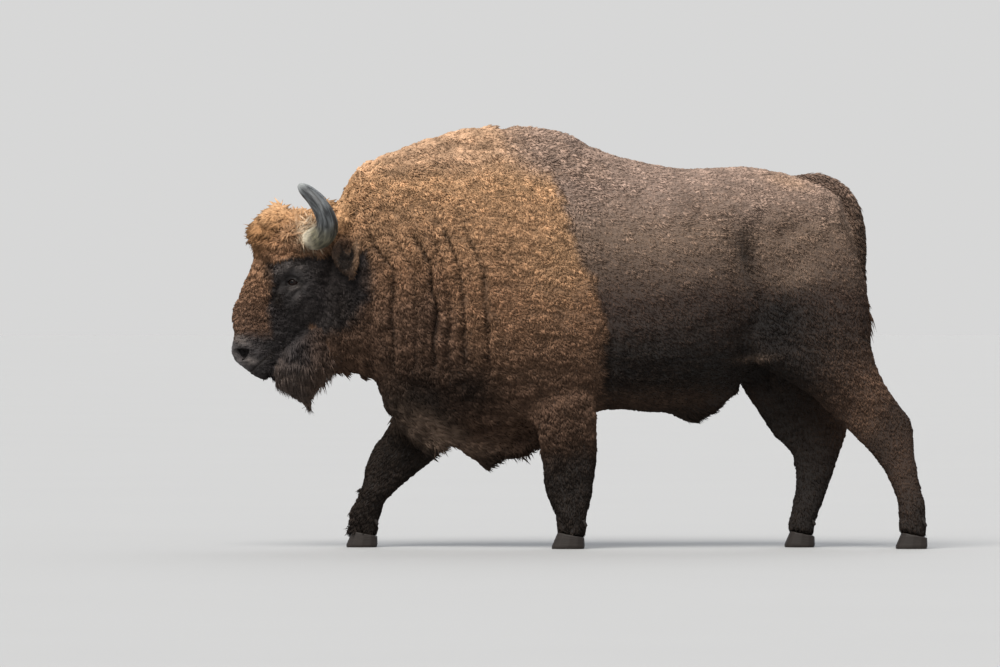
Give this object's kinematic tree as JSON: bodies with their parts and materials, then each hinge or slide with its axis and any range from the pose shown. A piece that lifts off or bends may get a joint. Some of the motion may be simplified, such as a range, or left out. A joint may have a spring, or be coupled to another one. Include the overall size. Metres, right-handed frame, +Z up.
{
  "type": "bull wisent model",
  "caption": "Life-size still model of a bull European bison in a walking stance, with a full brown coat, short curved horns, a beard and a humped back.",
  "frame": {"origin": "centre of the footprint of the whole animal, on the ground under the hooves", "axes": "-X the way the animal walks and looks, -Y its left side, +Z up"},
  "size_m": [2.8856, 0.6614, 1.7577],
  "materials": {
    "coat": "short dense greyish-brown fur on the back, flanks and rump",
    "mane": "deep woolly golden-brown fur on the hump, neck and shoulders",
    "face": "short blackish-brown fur of the face and ears, with bare dark skin on the nose",
    "beard": "long coarse blackish hair of the beard, chest and tail brush",
    "leg": "short dense dark brown fur",
    "horn": "slate-grey ringed horn with a paler worn tip",
    "hoof": "dark worn hoof horn with fine growth rings",
    "eye": "wet, near-black brown eye"
  },
  "bodies": {
    "root": {"trunk": "coat", "neck": "mane", "head": "face", "beard": "beard", "eye_left": "eye", "horn_left": "horn", "ear_left": "face", "eye_right": "eye", "horn_right": "horn", "ear_right": "face", "fore_leg_left": "leg", "hoof_fore_left_inner": "hoof", "dewclaw_fore_left_inner": "hoof", "hoof_fore_left_outer": "hoof", "dewclaw_fore_left_outer": "hoof", "fore_leg_right": "leg", "hoof_fore_right_inner": "hoof", "dewclaw_fore_right_inner": "hoof", "hoof_fore_right_outer": "hoof", "dewclaw_fore_right_outer": "hoof", "hind_leg_left": "leg", "hoof_hind_left_inner": "hoof", "dewclaw_hind_left_inner": "hoof", "hoof_hind_left_outer": "hoof", "dewclaw_hind_left_outer": "hoof", "hind_leg_right": "leg", "hoof_hind_right_inner": "hoof", "dewclaw_hind_right_inner": "hoof", "hoof_hind_right_outer": "hoof", "dewclaw_hind_right_outer": "hoof", "tail": "coat", "tail_tuft": "beard"}
  },
  "joints": []
}
